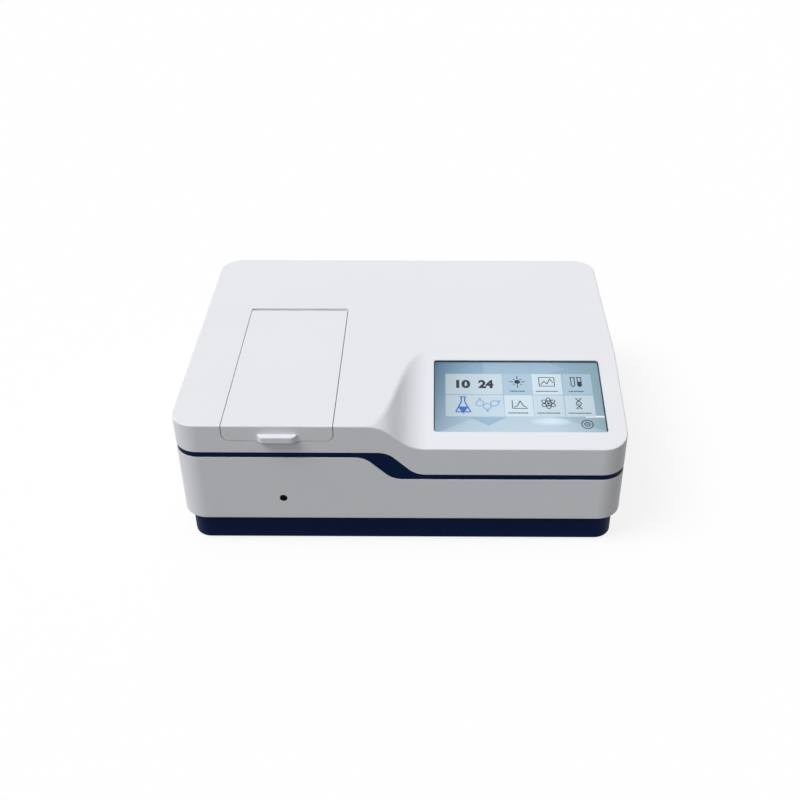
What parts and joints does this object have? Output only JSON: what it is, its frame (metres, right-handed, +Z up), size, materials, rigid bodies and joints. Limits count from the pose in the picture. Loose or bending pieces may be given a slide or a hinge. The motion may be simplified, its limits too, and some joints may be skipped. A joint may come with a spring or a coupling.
{
  "type": "scanning spectrophotometer",
  "caption": "Bench scanning spectrophotometer with a hinged sample lid, a sloping touch screen, a cell changer and a grating drive inside.",
  "frame": {"origin": "on the bench, under the middle of the whole box, pull tab included", "axes": "+Z up, the front with the pull tab and the screen faces -Y, +X to the right of a user"},
  "size_m": [0.5, 0.3906, 0.1673],
  "materials": {
    "white_plastic": "fine moulded texture",
    "navy_plastic": "satin",
    "black_plastic": "matte",
    "black_rubber": "matte",
    "foam_rubber": "closed-cell foam",
    "steel": "ground",
    "black_steel": "black oxide",
    "sheet_steel": "zinc plated",
    "aluminium_plate": "milled",
    "black_anodised": "black anodised",
    "panel_paint": "powder coated",
    "quartz_glass": "polished",
    "filter_glass": "polished",
    "screen_glass": "polished",
    "mirror_coat": "polished",
    "circuit_board": "solder mask",
    "motor_case": "satin",
    "brass_gear": "cut",
    "ceramic_white": "unglazed"
  },
  "bodies": {
    "casing": {"upper_cover": "white_plastic", "trim_band": "navy_plastic", "lower_housing": "white_plastic", "base_tray": "navy_plastic", "rubber_feet": "black_rubber", "cover_screws": "steel", "chassis_plate": "sheet_steel", "bench_pillars": "steel", "optical_bench": "aluminium_plate", "hinge_pin": "steel", "hinge_brackets": "black_anodised", "lid_seal": "foam_rubber", "compartment_tub": "black_anodised", "beam_windows": "quartz_glass", "rod_bush": "black_plastic", "guide_rods": "steel", "light_tubes": "black_anodised", "beam_lens": "quartz_glass", "detector_bracket": "black_anodised", "detector_board": "circuit_board", "monochromator_box": "aluminium_plate", "monochromator_lid": "aluminium_plate", "beam_slits": "black_anodised", "collimating_mirror": "mirror_coat", "focusing_mirror": "mirror_coat", "mirror_mounts": "black_anodised", "wavelength_motor": "motor_case", "filter_bracket": "sheet_steel", "filter_motor": "motor_case", "lamp_house": "aluminium_plate", "lamp_cover": "aluminium_plate", "lamp_sockets": "ceramic_white", "tungsten_lamp": "quartz_glass", "deuterium_lamp": "quartz_glass", "selector_motor": "motor_case", "rear_panel": "panel_paint", "fan_frame": "black_plastic", "fan_guard": "steel", "mains_inlet": "black_plastic", "switch_body": "black_plastic", "usb_socket": "steel", "serial_socket": "steel", "touch_glass": "screen_glass", "display_module": "black_plastic", "display_bracket": "sheet_steel", "main_board": "circuit_board", "power_supply": "aluminium_plate"},
    "lid": {"sample_lid": "white_plastic", "lid_liner": "black_plastic"},
    "cell_changer": {"cell_rack": "black_anodised", "pull_rod": "black_steel"},
    "grating_table": {"grating_turntable": "aluminium_plate", "grating": "mirror_coat"},
    "pinion": {"wavelength_pinion": "brass_gear"},
    "filters": {"filter_wheel": "black_anodised", "order_filters": "filter_glass"},
    "selector": {"selector_mirror": "mirror_coat"},
    "fan": {"fan_rotor": "black_plastic"},
    "rocker": {"switch_rocker": "black_plastic"}
  },
  "joints": [
    {"name": "lid_hinge", "type": "hinge", "parent": "casing", "child": "lid", "pos_m": [-0.133, 0.05645, 0.1623], "axis": [-1, 0, 0], "range_deg": [0, 90]},
    {"name": "cell_slide", "type": "slide", "parent": "casing", "child": "cell_changer", "axis": [0, -1, 0], "range_m": [0, 0.048]},
    {"name": "grating_turn", "type": "hinge", "parent": "casing", "child": "grating_table", "pos_m": [0.005, 0.04815, 0.06], "axis": [0, 0, 1], "range_deg": [-20, 20]},
    {"name": "pinion_turn", "type": "hinge", "parent": "casing", "child": "pinion", "pos_m": [0.075, 0.04815, 0.06], "axis": [0, 0, 1], "range_deg": [-121, 121]},
    {"name": "filter_turn", "type": "hinge", "parent": "casing", "child": "filters", "pos_m": [-0.04, 0.09215, 0.089], "axis": [1, 0, 0], "continuous": true},
    {"name": "selector_turn", "type": "hinge", "parent": "casing", "child": "selector", "pos_m": [-0.105, 0.11115, 0.08], "axis": [0, 0, 1], "range_deg": [0, 90]},
    {"name": "fan_spin", "type": "hinge", "parent": "casing", "child": "fan", "pos_m": [-0.133, 0.18015, 0.082], "axis": [0, 1, 0], "continuous": true},
    {"name": "rocker_tilt", "type": "hinge", "parent": "casing", "child": "rocker", "pos_m": [0.16, 0.18875, 0.067], "axis": [1, 0, 0], "range_deg": [0, 20]}
  ],
  "couplings": [
    {"joint": "pinion_turn", "follows": "grating_turn", "ratio": -6}
  ]
}
